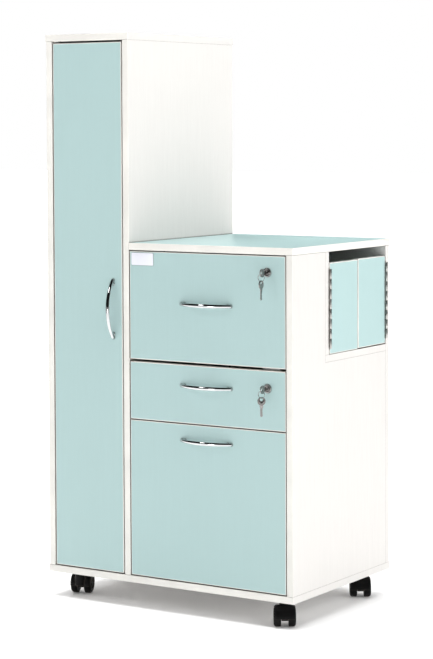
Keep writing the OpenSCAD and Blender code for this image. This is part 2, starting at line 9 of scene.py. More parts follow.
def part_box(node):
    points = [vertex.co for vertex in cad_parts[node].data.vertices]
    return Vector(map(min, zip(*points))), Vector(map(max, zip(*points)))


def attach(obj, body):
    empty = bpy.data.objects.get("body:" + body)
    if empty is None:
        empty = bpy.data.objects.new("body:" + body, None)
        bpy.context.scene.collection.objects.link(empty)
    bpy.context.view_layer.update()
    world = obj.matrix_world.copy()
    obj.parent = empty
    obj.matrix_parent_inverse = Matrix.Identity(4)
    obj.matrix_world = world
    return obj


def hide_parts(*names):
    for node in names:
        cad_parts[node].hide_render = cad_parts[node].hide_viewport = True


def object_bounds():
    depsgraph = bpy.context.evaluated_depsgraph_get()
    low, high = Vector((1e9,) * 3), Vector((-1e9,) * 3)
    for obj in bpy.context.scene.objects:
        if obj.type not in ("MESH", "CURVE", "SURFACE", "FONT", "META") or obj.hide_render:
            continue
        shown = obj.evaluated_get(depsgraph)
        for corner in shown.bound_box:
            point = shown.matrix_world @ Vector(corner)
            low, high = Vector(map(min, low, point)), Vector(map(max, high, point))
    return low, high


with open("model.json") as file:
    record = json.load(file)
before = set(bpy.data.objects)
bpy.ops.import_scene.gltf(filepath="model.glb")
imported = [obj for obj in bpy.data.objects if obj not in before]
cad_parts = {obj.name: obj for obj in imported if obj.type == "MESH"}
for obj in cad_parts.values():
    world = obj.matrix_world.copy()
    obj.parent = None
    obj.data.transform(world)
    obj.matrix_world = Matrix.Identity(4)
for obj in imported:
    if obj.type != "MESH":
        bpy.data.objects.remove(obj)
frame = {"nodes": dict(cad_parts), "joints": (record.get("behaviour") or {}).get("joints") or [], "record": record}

cad_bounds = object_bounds()

MM = 0.001
NODES = frame["nodes"]
JOINTS = {joint["name"]: joint for joint in frame["joints"]}
SLOTS = {part["node"]: part["material_slot"] for part in frame["record"]["subparts"]}

# A turned solid starts and ends at this radius, next to its axis.
CORE = 0.1 * MM

# ---- boards and edging; bevels go by finish, and all other nodes get the small one
EDGE = 2 * MM
EDGE_ROUND = 1.5 * MM
BEVELS = {"white_board": 0.7 * MM, "drawer_board": 0.5 * MM, "aqua_board": 0}
SMALL_BEVEL = 0.15 * MM
BEVEL_FROM = math.radians(40)
SMOOTH_UNDER = math.radians(32)

# ---- bow handles; a pair of sizes is at the middle and at the ends
BOW_D = 8 * MM
BOW_PITCH = 128 * MM
BOW_HALF_WIDE = (5.2 * MM, 3.8 * MM)
BOW_HALF_THICK = (3.3 * MM, 2.7 * MM)
BOW_TIP = 0.95
BOW_END_GAP = 0.3 * MM
BOW_STEPS = 60
BOW_SIDES = 24
POST_FLANGE_R = 4.3 * MM
POST_R = 3.1 * MM
SCREW_R = 1.9 * MM
SCREW_HEAD_R = 4 * MM
SCREW_HEAD = 2.5 * MM

# ---- locks and keys; the cam's depths are behind the front, and the key's cuts are in millimetres
LOCK_RING_R = 11 * MM
BARREL_R = 8.9 * MM
PLUG_BORE_R = 6.1 * MM
PLUG_R = 6 * MM
NUT_R = 12 * MM
NUT_BORE_R = 8.8 * MM
NUT_T = 4 * MM
CAM_REACH = 38 * MM
CAM_HALF = 7 * MM
CAM_DEPTHS = (5 * MM, 8 * MM)
KEY_BOW_R = 10.5 * MM
KEY_BOW_OUT = 24 * MM
KEY_HOLE_R = 4 * MM
KEY_HOLE_OFF = 4.5 * MM
KEY_NECK_HALF = 4.6 * MM
KEY_BLADE_HALF = 3.4 * MM
KEY_T = 2 * MM
KEY_CUTS = (0.7, 1.9, 1.2, 2.3, 0.9)
RING_R = 9 * MM
RING_COILS = 2
RING_STEPS = 44
WIRE_R = 0.7 * MM
RING_HANG = 5.1 * MM
RING_TO_SPARE = 2.6 * MM
SPARE_BLADE = 28 * MM

# ---- castors; the hood's span and lip are angles in degrees
WHEEL_R = 25 * MM
WHEEL_IN = 9.5 * MM
WHEEL_OUT = 27.5 * MM
HOOD_R = 29 * MM
HOOD_ROUND = 9 * MM
HOOD_FLAT = 19 * MM
HOOD_WALL = 1.8 * MM
HOOD_SPAN = (-2, 182)
HOOD_LIP = 35
HOOD_STEPS = 40
WEB_T = 17 * MM
COLLAR_R = 13.6 * MM
WHEEL_RIBS = 6

# ---- painted shade and dust in seams and gaps, which fade out over this range of a point's open surroundings
CREASE_REACH = 4 * MM
CREASE_RANGE = (0.45, 0.96)
CREASE_SAMPLES = 8
# the colour of the painted shade and dust
CREASE_SHADE_AND_DUST_COLOUR = (0.10, 0.085, 0.07, 1)

# ---- studio; the floor's glow rises from FLOOR_GLOW to 1 between the two distances of FLOOR_FADE
FLOOR_WHITE = 0.93
FLOOR_GLOW = 0.08
FLOOR_FADE = (1.6, 4.0)
DARK_BAND = 0.04
CEILING = 0.32
MIRRORED_ROOM = 0.015

# ---- camera: its direction from the cabinet, its distance, and where it looks
AZIMUTH = math.radians(32.84)
ELEVATION = math.radians(2.66)
ROLL = math.radians(-0.23)
DISTANCE = 5.481
AIM_HEIGHT = 0.989
AIM_OFF = (-4 * MM, 11.5 * MM)
LENS = 114.41
SENSOR = 36
SHIFT_UP = -0.1658


# ======== materials

def add(tree, kind, inputs=None, **settings):
    """Adds a node; an input is a value, or an output socket to link to it."""
    made = tree.nodes.new(kind)
    for key, value in settings.items():
        setattr(made, key, value)
    for key, value in (inputs or {}).items():
        if isinstance(value, bpy.types.NodeSocket):
            tree.links.new(value, made.inputs[key])
        else:
            made.inputs[key].default_value = value
    return made


def start(name, colour, roughness, metallic=0.0, specular=0.5):
    """A new material with its shader's own sockets set."""
    finish = bpy.data.materials.new(name)
    finish.use_nodes = True
    finish.diffuse_color = (*colour, 1)
    tree = finish.node_tree
    shader = tree.nodes["Principled BSDF"]
    shader.inputs["Base Color"].default_value = (*colour, 1)
    shader.inputs["Roughness"].default_value = roughness
    shader.inputs["Metallic"].default_value = metallic
    shader.inputs["Specular IOR Level"].default_value = specular
    return finish, tree, shader


def grain(tree, scale, detail=2.0, soft=0.5):
    """Noise in the object's own coordinates, with a scale per metre along each axis."""
    place = add(tree, "ShaderNodeTexCoord").outputs["Object"]
    place = add(tree, "ShaderNodeMapping", {"Vector": place, "Scale": scale}).outputs["Vector"]
    inputs = {"Vector": place, "Scale": 1.0, "Detail": detail, "Roughness": soft}
    return add(tree, "ShaderNodeTexNoise", inputs).outputs["Fac"]


def spread(tree, value, low, high, first=0.35, last=0.65):
    """Stretches the middle of a noise over low to high."""
    inputs = {"Value": value, "From Min": first, "From Max": last, "To Min": low, "To Max": high}
    return add(tree, "ShaderNodeMapRange", inputs).outputs["Result"]


def blend(tree, factor, first, second):
    """Mixes two colours, each a value or a socket."""
    made = add(tree, "ShaderNodeMix", data_type="RGBA")
    for index, value in ((0, factor), (6, first), (7, second)):
        if isinstance(value, bpy.types.NodeSocket):
            tree.links.new(value, made.inputs[index])
        else:
            made.inputs[index].default_value = value
    return made.outputs[2]


def tone(colour, gain):
    """A colour made lighter or darker, as a socket value."""
    return (*[min(1.0, c * gain) for c in colour], 1)


def seam_shade_and_dust(tree, colour):
    """Paints shade and dust into a colour in seams and narrow gaps, where little light reaches."""
    open_share = add(tree, "ShaderNodeAmbientOcclusion", {"Distance": CREASE_REACH},
                     samples=CREASE_SAMPLES)
    # painted shade and dust: the more closed in a point's surroundings are, the darker its colour
    clear_of_shade_and_dust = spread(tree, open_share.outputs["AO"], 0, 1, *CREASE_RANGE)
    return blend(tree, clear_of_shade_and_dust, CREASE_SHADE_AND_DUST_COLOUR, colour)


def relief(tree, shader, layers):
    """Bumps laid over one another: (height, depth in metres, strength)."""
    normal = None
    for height, depth, strength in layers:
        inputs = {"Height": height, "Distance": depth, "Strength": strength}
        if normal is not None:
            inputs["Normal"] = normal
        normal = add(tree, "ShaderNodeBump", inputs).outputs["Normal"]
    tree.links.new(normal, shader.inputs["Normal"])


def dress(tree, shader, colour=None, roughness=None):
    """Links a colour and a roughness to the shader."""
    if colour is not None:
        tree.links.new(colour, shader.inputs["Base Color"])
    if roughness is not None:
        tree.links.new(roughness, shader.inputs["Roughness"])


def laminate(name, colour, streak, rough):
    """Melamine board: a pearl emboss, upright grain of the given strength and faint clouding."""
    finish, tree, shader = start(name, colour, sum(rough) / 2)
    pearl = grain(tree, (1300, 1300, 1300), 1.0)
    fibre = grain(tree, (420, 420, 11), 3.0, 0.6)
    figure = grain(tree, (60, 60, 2.2), 4.0, 0.55)
    cloud = grain(tree, (2.4, 2.4, 1.7), 3.0)
    pale, dark = tone(colour, 1 + 0.02 * streak), tone(colour, 1 - 0.03 * streak)
    base = blend(tree, spread(tree, fibre, 0, 1), dark, pale)
    base = blend(tree, spread(tree, figure, 0, 0.35 * streak), base, tone(colour, 0.95))
    base = blend(tree, spread(tree, cloud, 0, 0.3), base, tone(colour, 1.03))
    # the board's colour gets painted shade and dust in its seams and gaps
    dress(tree, shader, seam_shade_and_dust(tree, base), spread(tree, cloud, *rough))
    relief(tree, shader, [(figure, 0.12 * MM, 0.25 * streak), (fibre, 0.08 * MM, 0.5 * streak),
                          (pearl, 0.05 * MM, 0.45)])
    return finish


def moulded(name, colour, roughness, texture, specular=0.5):
    """Moulded plastic with a fine spark texture and slight marks from handling."""
    finish, tree, shader = start(name, colour, roughness, specular=specular)
    spark = grain(tree, (2200, 2200, 2200), 1.0)
    wave = grain(tree, (70, 70, 70), 2.0)
    marks = grain(tree, (9, 9, 9), 4.0)
    base = blend(tree, spread(tree, marks, 0, 1), tone(colour, 0.94), tone(colour, 1.05))
    # the plastic's colour gets painted shade and dust in its seams and gaps
    dress(tree, shader, seam_shade_and_dust(tree, base), spread(tree, marks, roughness * 0.85, roughness * 1.2))
    relief(tree, shader, [(wave, 0.15 * MM, 0.12), (spark, 0.04 * MM, texture)])
    return finish


def plated(name, colour, rough, brushed=(300, 300, 300), depth=0.2):
    """Plated metal with faint brushing along the axis of the smallest scale, and smudges."""
    finish, tree, shader = start(name, colour, sum(rough) / 2, metallic=1.0)
    lines = grain(tree, brushed, 3.0, 0.6)
    smudge = grain(tree, (45, 45, 45), 3.0)
    base = blend(tree, spread(tree, smudge, 0, 1), tone(colour, 0.95), tone(colour, 1.04))
    dress(tree, shader, base, spread(tree, smudge, *rough))
    relief(tree, shader, [(lines, 0.02 * MM, depth)])
    return finish


def galvanised(name, colour):
    """Zinc-plated sheet: spangled patches that differ in tone and gloss."""
    finish, tree, shader = start(name, colour, 0.38, metallic=1.0)
    place = add(tree, "ShaderNodeTexCoord").outputs["Object"]
    cells = add(tree, "ShaderNodeTexVoronoi", {"Vector": place, "Scale": 260.0})
    value = add(tree, "ShaderNodeSeparateColor", {"Color": cells.outputs["Color"]}).outputs["Red"]
    fine = grain(tree, (900, 900, 900), 2.0)
    base = blend(tree, value, tone(colour, 0.86), tone(colour, 1.1))
    dress(tree, shader, base, spread(tree, value, 0.28, 0.46, 0, 1))
    relief(tree, shader, [(fine, 0.03 * MM, 0.3)])
    return finish


# One finish for each material slot: its colour, then its roughness and texture.
FINISHES = {
    "white_board": laminate("white_board", (0.73, 0.71, 0.685), 1.0, (0.36, 0.48)),
    "aqua_board": laminate("aqua_board", (0.427, 0.59, 0.585), 0.35, (0.34, 0.46)),
    "white_edging": moulded("white_edging", (0.83, 0.81, 0.765), 0.36, 0.25),
    "drawer_board": laminate("drawer_board", (0.8, 0.795, 0.78), 0.5, (0.4, 0.52)),
    "chrome": plated("chrome", (0.6, 0.61, 0.62), (0.05, 0.1), (500, 500, 500), 0.05),
    "nickel": plated("nickel", (0.32, 0.31, 0.30), (0.16, 0.3), (900, 900, 60), 0.5),
    "zinc_steel": galvanised("zinc_steel", (0.6, 0.61, 0.62)),
    "hinge_steel": plated("hinge_steel", (0.5, 0.49, 0.47), (0.22, 0.36), (1200, 1200, 25), 0.6),
    "nylon": moulded("nylon", (0.82, 0.82, 0.8), 0.42, 0.4),
    "catch_plastic": moulded("catch_plastic", (0.03, 0.03, 0.03), 0.45, 0.6),
    "label_plate": moulded("label_plate", (0.83, 0.84, 0.92), 0.32, 0.2),
    "castor_hood": moulded("castor_hood", (0.004, 0.004, 0.004), 0.45, 0.7, specular=0.12),
    "castor_wheel": moulded("castor_wheel", (0.004, 0.004, 0.004), 0.5, 0.7, specular=0.12),
}


def paint_node(name, width):
    """Gives a CAD node its finish and, above a width of zero, eases its sharp edges."""
    piece = NODES[name]
    for material_slot in piece.material_slots:
        material_slot.link = "OBJECT"
        material_slot.material = FINISHES[SLOTS[name]]
    if width == 0:
        return
    weld = piece.modifiers.new("weld", "WELD")
    weld.merge_threshold = 0.001 * MM
    ease = piece.modifiers.new("ease", "BEVEL")
    ease.width = width
    ease.segments = 2
    ease.limit_method = "ANGLE"
    ease.angle_limit = BEVEL_FROM
    ease.harden_normals = True


# ======== mesh work

def piece_of(bm, name, finish, body, stands_for=()):
    """Turns mesh work into a piece that rides on a body and stands for CAD nodes."""
    bmesh.ops.recalc_face_normals(bm, faces=bm.faces)
    mesh = bpy.data.meshes.new(name)
    bm.to_mesh(mesh)
    bm.free()
    mesh.shade_smooth()
    mesh.set_sharp_from_angle(angle=SMOOTH_UNDER)
    mesh.materials.append(FINISHES[finish])
    piece = bpy.data.objects.new(name, mesh)
    bpy.context.collection.objects.link(piece)
    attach(piece, body)
    if stands_for:
        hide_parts(*stands_for)
    return piece


def add_loft(bm, rings, joined=False):
    """Skins a row of closed rings of points, capped at both ends unless the row closes on itself."""
    loops = [[bm.verts.new(point) for point in ring] for ring in rings]
    count = len(loops[0])
    pairs = list(zip(loops, loops[1:])) + ([(loops[-1], loops[0])] if joined else [])
    for first, second in pairs:
        for i in range(count):
            j = (i + 1) % count
            bm.faces.new((first[i], first[j], second[j], second[i]))
    if not joined:
        bm.faces.new(loops[0])
        bm.faces.new(loops[-1])


def add_turned(bm, profile, place, steps=48):
    """Turns a closed profile of (distance along X, radius) points round the X axis of place."""
    rings = []
    for k in range(steps):
        angle = 2 * math.pi * k / steps
        cosine, sine = math.cos(angle), math.sin(angle)
        rings.append([place @ Vector((x, r * cosine, r * sine)) for x, r in profile])
    add_loft(bm, rings, joined=True)


def add_solid_turned(bm, profile, place, steps=48):
    """As add_turned, for a profile that starts and ends next to the axis, where it is capped."""
    turns = [2 * math.pi * k / steps for k in range(steps)]
    rings = []
    for x, r in profile:
        rings.append([place @ Vector((x, r * math.cos(t), r * math.sin(t))) for t in turns])
    add_loft(bm, rings)


def add_block(bm, low, high, radius=0.0, rounded=None, segments=4, place=None):
    """A box whose edges are rounded where rounded(sx, sy, sz) says so: a sign is 0 along the edge."""
    size = high - low
    middle = (high + low) / 2
    made = bmesh.ops.create_cube(bm, size=1.0, matrix=Matrix.LocRotScale(middle, None, size))
    verts = made["verts"]

    def signs(edge):
        at = (edge.verts[0].co + edge.verts[1].co) / 2 - middle
        return [0 if abs(at[i]) < size[i] / 4 else int(math.copysign(1, at[i])) for i in range(3)]

    edges = {edge for vert in verts for edge in vert.link_edges}
    picked = [edge for edge in edges if rounded is None or rounded(*signs(edge))]
    faces = {face for vert in verts for face in vert.link_faces}
    if radius > 0 and picked:
        made = bmesh.ops.bevel(bm, geom=picked, offset=radius, segments=segments, profile=0.5,
                               affect="EDGES", clamp_overlap=True)
        faces |= set(made["faces"])
    if place is not None:
        corners = {vert for face in faces if face.is_valid for vert in face.verts}
        bmesh.ops.transform(bm, matrix=place, verts=list(corners))


def add_plate(bm, outlines, thickness, place, radius=0.0):
    """A plate in the XY plane of place from an outline and its holes, with its rims rounded."""
    edges = []
    for outline in outlines:
        verts = [bm.verts.new((x, y, -thickness / 2)) for x, y in outline]
        edges += [bm.edges.new((verts[i - 1], verts[i])) for i in range(len(verts))]
    filled = bmesh.ops.triangle_fill(bm, use_beauty=True, use_dissolve=False, edges=edges)
    faces = [item for item in filled["geom"] if isinstance(item, bmesh.types.BMFace)]
    raised = bmesh.ops.extrude_face_region(bm, geom=faces)
    top = [item for item in raised["geom"] if isinstance(item, bmesh.types.BMVert)]
    bmesh.ops.translate(bm, vec=(0, 0, thickness), verts=top)
    verts = set(top) | {vert for edge in edges for vert in edge.verts}
    rims = [edge for edge in bm.edges if edge.verts[0] in verts and edge.verts[1] in verts
            and len(edge.link_faces) == 2 and abs(edge.verts[0].co.z - edge.verts[1].co.z) < 0.01 * MM
            and edge.calc_face_angle(0) > math.radians(50)]
    if radius > 0:
        made = bmesh.ops.bevel(bm, geom=rims, offset=radius, segments=2, profile=0.5,
                               affect="EDGES", clamp_overlap=True)
        verts = {vert for vert in verts if vert.is_valid} | set(made["verts"])
    bmesh.ops.transform(bm, matrix=place, verts=list(verts))


def arc(cx, cy, r, first, last, steps):
    """Points on an arc, with its angles in degrees."""
    angles = [math.radians(first + (last - first) * k / steps) for k in range(steps + 1)]
    return [(cx + r * math.cos(a), cy + r * math.sin(a)) for a in angles]


def joint_at(name):
    """Where a joint's axis stands."""
    return Vector(JOINTS[name]["pos_m"])


# ======== edging

def add_edging(bm, low, high, normal):
    """A ring of edging round a panel that faces along the axis normal, its outer corners rounded."""
    u, v = [axis for axis in range(3) if axis != normal]
    near, far = low[normal], high[normal]
    corner = [(EDGE_ROUND - dx, EDGE_ROUND - dy) for dx, dy in arc(0, 0, EDGE_ROUND, 90, 0, 4)]
    profile = [(EDGE, near)] + [(d, near + h) for d, h in corner]
    profile += [(d, far - h) for d, h in reversed(corner)] + [(EDGE, far)]
    rings = []
    for inset, depth in profile:
        ring = []
        for at_u, at_v in ((0, 0), (1, 0), (1, 1), (0, 1)):
            point = Vector((0, 0, 0))
            point[u] = high[u] - inset if at_u else low[u] + inset
            point[v] = high[v] - inset if at_v else low[v] + inset
            point[normal] = depth
            ring.append(point)
        rings.append(ring)
    add_loft(bm, rings, joined=True)


def front_edging(node, body, normal):
    """The edging of one door or drawer front, which stands for the CAD node of that name."""
    bm = bmesh.new()
    add_edging(bm, *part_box(node), normal)
    piece_of(bm, node + "_strip", "white_edging", body, [node])


def carcass_edging():
    """Strips on the front edges of the boards, and round three sides of the worktop."""
    bm = bmesh.new()
    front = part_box("carcass_edging")[0].y

    def strip(board, rounded):
        low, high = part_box(board)
        far = Vector((high.x, front + EDGE, high.z))
        add_block(bm, Vector((low.x, front, low.z)), far, EDGE_ROUND, rounded)

    for board in ("wardrobe_side", "divider_panel", "cabinet_side"):
        strip(board, lambda sx, sy, sz: sx != 0 and sy < 0)
    for board in ("base_panel", "wardrobe_top"):
        strip(board, lambda sx, sy, sz: sy < 0)
    low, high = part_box("worktop")
    back = high.y + EDGE
    outer = Vector((high.x + EDGE, back, high.z))
    add_block(bm, Vector((low.x, front, low.z)), Vector((outer.x, front + EDGE, high.z)), EDGE_ROUND,
              lambda sx, sy, sz: sy < 0 and sx >= 0)
    add_block(bm, Vector((high.x, front + EDGE, low.z)), outer, EDGE_ROUND,
              lambda sx, sy, sz: sx > 0 and sy >= 0)
    add_block(bm, Vector((low.x, high.y, low.z)), Vector((high.x, back, high.z)), EDGE_ROUND,
              lambda sx, sy, sz: sx == 0 and sy > 0)
    piece_of(bm, "carcass_edging_strips", "white_edging", "root", ["carcass_edging"])


# ======== handles

def bow_size(half_sizes, share):
    """A half size of the bow: the first value at its middle, easing to the second at its ends."""
    return half_sizes[0] + (half_sizes[1] - half_sizes[0]) * share * share


def bow_handle(node, panel, body):
    """A bow of flat oval section that tapers to rounded ends, on two feet, with its screws."""
    low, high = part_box(node)
    face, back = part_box(panel)[0].y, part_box(panel)[1].y
    upright = high.z - low.z > high.x - low.x
    half = max(high.z - low.z, high.x - low.x) / 2 - BOW_D / 2
    rise = face - low.y - BOW_D
    radius = (half * half + rise * rise) / (2 * rise)
    sweep = math.asin(half / radius)
    reach = math.asin((half + BOW_D / 2 - BOW_END_GAP) / radius)
    middle = Vector(((low.x + high.x) / 2, face, (low.z + high.z) / 2))
    place = Matrix.Translation(middle) @ Matrix.Rotation(math.radians(90 if upright else 0), 4, "Y")

    def centre(angle):
        out = radius * (math.cos(sweep) - math.cos(angle)) - BOW_D / 2
        return Vector((radius * math.sin(angle), out, 0))

    bm = bmesh.new()
    rings = []
    for k in range(BOW_STEPS + 1):
        share = math.sin(math.pi * (k / BOW_STEPS - 0.5))
        angle = share * reach
        tip = max(0.0, (abs(share) - BOW_TIP) / (1 - BOW_TIP))
        scale = max(0.05, math.sqrt(max(0.0, 1 - tip * tip)))
        wide = scale * bow_size(BOW_HALF_WIDE, share)
        thick = scale * bow_size(BOW_HALF_THICK, share)
        out = Vector((math.sin(angle), -math.cos(angle), 0))
        ring = []
        for p in range(BOW_SIDES):
            turn = 2 * math.pi * p / BOW_SIDES
            ring.append(place @ (centre(angle) + out * (thick * math.cos(turn))
                                 + Vector((0, 0, wide * math.sin(turn)))))
        rings.append(ring)
    add_loft(bm, rings)
    foot_x = BOW_PITCH / 2
    foot = -centre(math.asin(foot_x / radius)).y
    behind = face - back
    head = SCREW_HEAD
    post_profile = [(0, CORE), (0, POST_FLANGE_R), (0.5 * MM, POST_FLANGE_R), (1.2 * MM, 3.7 * MM),
                    (2.2 * MM, 3.3 * MM), (foot, POST_R), (foot, CORE)]
    screw_profile = [(-0.5 * MM, CORE), (-0.5 * MM, SCREW_R), (behind, SCREW_R),
                     (behind, SCREW_HEAD_R), (behind - 0.4 * head, SCREW_HEAD_R),
                     (behind - 0.8 * head, 3.3 * MM), (behind - head, 2.0 * MM),
                     (behind - head, 1.5 * MM), (behind - 0.45 * head, 1.2 * MM),
                     (behind - 0.35 * head, CORE)]
    for side in (-1, 1):
        post = place @ Matrix.Translation((side * foot_x, 0, 0))
        post = post @ Matrix.Rotation(math.radians(-90), 4, "Z")
        add_solid_turned(bm, post_profile, post, 28)
        add_solid_turned(bm, screw_profile, post, 28)
    piece_of(bm, node + "_bow", "chrome", body, [node])


# ======== locks and keys

# Turns the XY plane of a plate into the YZ plane: its X runs to the back, and its Y runs up.
PLATE_TO_YZ = Matrix(((0, 0, 1, 0), (1, 0, 0, 0), (0, 1, 0, 0), (0, 0, 0, 1)))


def add_key(bm, place, blade, cuts=True):
    """A key with its bow's centre at the origin and its blade along X: rim, hole, shoulder and cuts."""
    neck, half = KEY_NECK_HALF, KEY_BLADE_HALF
    shoulder = KEY_BOW_R + 4.5 * MM
    tip = KEY_BOW_R + blade
    start_angle = math.degrees(math.asin(neck / KEY_BOW_R))
    outline = arc(0, 0, KEY_BOW_R, start_angle, 360 - start_angle, 40)
    outline += [(shoulder, -neck), (shoulder, -half), (tip - 2 * MM, -half), (tip, -half + 2 * MM)]
    if cuts:
        pitch = (tip - shoulder - 6 * MM) / len(KEY_CUTS)
        outline += [(tip - 1 * MM, half - 1.6 * MM)]
        for k, depth in enumerate(KEY_CUTS):
            at = tip - 2.5 * MM - (k + 0.5) * pitch
            outline += [(at + 0.5 * pitch, half - 0.2 * MM), (at + 0.2 * pitch, half - depth * MM),
                        (at - 0.2 * pitch, half - depth * MM)]
    outline += [(shoulder + 1.5 * MM, half), (shoulder, half), (shoulder, neck)]
    hole = arc(-KEY_HOLE_OFF, 0, KEY_HOLE_R, 0, 345, 23)
    add_plate(bm, [outline, hole], KEY_T, place, 0.2 * MM)

    # Raised rims round the bow and round its hole: middle radius, half width and place along X.
    half_t = KEY_T / 2 + 0.3 * MM
    step_t = half_t - 0.25 * MM
    for radius, wide, at in ((KEY_BOW_R - 0.95 * MM, 0.9 * MM, 0),
                             (KEY_HOLE_R + 0.55 * MM, 0.5 * MM, -KEY_HOLE_OFF)):
        spot = place @ Matrix.Translation((at, 0, 0)) @ Matrix.Rotation(math.radians(90), 4, "Y")
        inside, outside, flat = radius - wide, radius + wide, 0.4 * wide
        rim = [(-half_t, radius - flat), (-step_t, inside), (step_t, inside), (half_t, radius - flat)]
        rim += [(half_t, radius + flat), (step_t, outside), (-step_t, outside), (-half_t, radius + flat)]
        add_turned(bm, rim, spot, 40)

    # A bar along the blade, flush with its faces.
    bar_round = 0.25 * MM
    bar_t = half_t - 0.55 * MM + bar_round
    add_block(bm, Vector((shoulder + 0.5 * MM, -1.6 * MM, -bar_t)),
              Vector((tip - 3 * MM, -0.4 * MM, bar_t)), bar_round, None, 2, place)


def lock_set(level, panel, drawer_body):
    """The face ring and nut on the drawer, and the plug, cam and key that turn in it."""
    face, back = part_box(panel)[0].y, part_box(panel)[1].y
    axis = joint_at(level + "_lock_turn")
    front = Matrix.Translation((axis.x, face, axis.z)) @ Matrix.Rotation(math.radians(-90), 4, "Z")
    depth = face - back
    bm = bmesh.new()
    barrel_end = depth - NUT_T
    add_turned(bm, [(barrel_end, PLUG_BORE_R), (1.5 * MM, PLUG_BORE_R), (2.0 * MM, 6.5 * MM),
                    (2.1 * MM, 7.9 * MM), (2.5 * MM, 8.4 * MM), (2.5 * MM, 9.7 * MM), (2.2 * MM, 10.4 * MM),
                    (1.4 * MM, 10.9 * MM), (0, LOCK_RING_R), (0, BARREL_R), (barrel_end, BARREL_R)], front)
    nut = Matrix.Translation((axis.x, back + NUT_T / 2, axis.z)) @ Matrix.Rotation(math.radians(90), 4, "X")
    hexagon = arc(0, 0, NUT_R, 0, 300, 5)
    add_plate(bm, [hexagon, arc(0, 0, NUT_BORE_R, 0, 350, 35)], NUT_T, nut, 0.4 * MM)
    piece_of(bm, level + "_lock_ring", "nickel", drawer_body, [level + "_lock_housing"])

    bm = bmesh.new()
    plug_end = depth - CAM_DEPTHS[0]
    add_solid_turned(bm, [(plug_end, CORE), (plug_end, PLUG_R), (2.3 * MM, PLUG_R), (2.9 * MM, 5.5 * MM),
                          (3.0 * MM, 5.0 * MM), (2.7 * MM, 4.6 * MM), (2.7 * MM, CORE)], front)
    cam_low = Vector((axis.x - CAM_HALF, back + CAM_DEPTHS[0], axis.z - CAM_HALF))
    cam_high = Vector((axis.x + CAM_REACH, back + CAM_DEPTHS[1], axis.z + CAM_HALF))
    add_block(bm, cam_low, cam_high, 5 * MM, lambda sx, sy, sz: sy == 0, 6)
    key = Matrix.Translation((axis.x, face - KEY_BOW_OUT, axis.z)) @ PLATE_TO_YZ
    add_key(bm, key, KEY_BOW_OUT - KEY_BOW_R - 2.4 * MM, cuts=False)
    piece_of(bm, level + "_key_in_lock", "nickel", level + "_lock", [level + "_lock_key"])


def spare_key(level, turn):
    """A split ring of two coils through the inserted key's bow, with a second key hanging on it."""
    ring = joint_at(level + "_spare_key_hang") - Vector((0, 0, RING_HANG))
    bm = bmesh.new()
    rings = []
    for k in range(RING_STEPS * RING_COILS - 3):
        angle = 2 * math.pi * k / RING_STEPS - math.pi / 3
        out = Vector((math.cos(angle), 0, math.sin(angle)))
        along = (k / RING_STEPS - RING_COILS / 2) * 1.15 * WIRE_R
        centre = ring + out * RING_R + Vector((0, along, 0))
        section = []
        for q in range(10):
            around = 2 * math.pi * q / 10
            aside = Vector((0, 0.6 * WIRE_R * math.sin(around), 0))
            section.append(centre + out * (0.75 * WIRE_R * math.cos(around)) + aside)
        rings.append(section)
    add_loft(bm, rings)
    spare = ring - Vector((0, 0, RING_R + RING_TO_SPARE + KEY_HOLE_OFF))
    place = (Matrix.Translation(spare) @ Matrix.Rotation(math.radians(turn), 4, "Z")
             @ Matrix.Rotation(math.radians(-90), 4, "X") @ PLATE_TO_YZ)
    add_key(bm, place, SPARE_BLADE)
    piece_of(bm, level + "_spare_key_on_ring", "nickel", level + "_spare", [level + "_spare_key"])


# ======== castors

def castor_frame(corner):
    """The castor's axes at its axle, X along the axle and Y to the swivel, and its trail."""
    roll, swivel = JOINTS[corner + "_roll"], JOINTS[corner + "_swivel"]
    axle = Vector(roll["pos_m"])
    pivot = Vector(swivel["pos_m"])
    back = Vector((pivot.x - axle.x, pivot.y - axle.y, 0))
    trail = back.length
    back.normalize()
    across = back.cross(Vector((0, 0, 1)))
    turn = Matrix((across, back, Vector((0, 0, 1)))).transposed().to_4x4()
    return Matrix.Translation(axle) @ turn, trail


def castor_hood(corner):
    """A rounded fender over both wheels, a web between them and a collar under the plate."""
    place, trail = castor_frame(corner)
    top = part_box(corner + "_hood")[1].z - place.translation.z
    outer = arc(HOOD_FLAT, HOOD_R - HOOD_ROUND, HOOD_ROUND, 90, HOOD_LIP, 7)
    inner = arc(HOOD_FLAT, HOOD_R - HOOD_ROUND, HOOD_ROUND - HOOD_WALL, HOOD_LIP, 90, 7)
    right = outer + inner
    section = right + [(-x, r) for x, r in reversed(right)]
    rings = []
    for k in range(HOOD_STEPS + 1):
        angle = math.radians(HOOD_SPAN[0] + (HOOD_SPAN[1] - HOOD_SPAN[0]) * k / HOOD_STEPS)
        cosine, sine = math.cos(angle), math.sin(angle)
        rings.append([place @ Vector((x, r * cosine, r * sine)) for x, r in section])
    bm = bmesh.new()
    add_loft(bm, rings)
    web = arc(0, 0, HOOD_R - 0.6 * MM, *HOOD_SPAN, HOOD_STEPS)
    low_z, half_l, soft = -8 * MM, 21 * MM, 5 * MM
    web += arc(-half_l + soft, low_z + soft, soft, 180, 270, 6)
    web += arc(half_l - soft, low_z + soft, soft, 270, 360, 6)
    add_plate(bm, [web], WEB_T, place @ PLATE_TO_YZ, 0.8 * MM)
    up = place @ Matrix.Translation((0, trail, 0)) @ Matrix.Rotation(math.radians(-90), 4, "Y")
    add_solid_turned(bm, [(0, CORE), (0, COLLAR_R), (top - 14 * MM, COLLAR_R), (top - 11 * MM, 13 * MM),
                          (top - 1.2 * MM, 12.8 * MM), (top - 0.3 * MM, 12.3 * MM), (top, 11.4 * MM),
                          (top, CORE)], up)
    piece_of(bm, corner + "_castor_hood", "castor_hood", corner + "_castor", [corner + "_hood"])


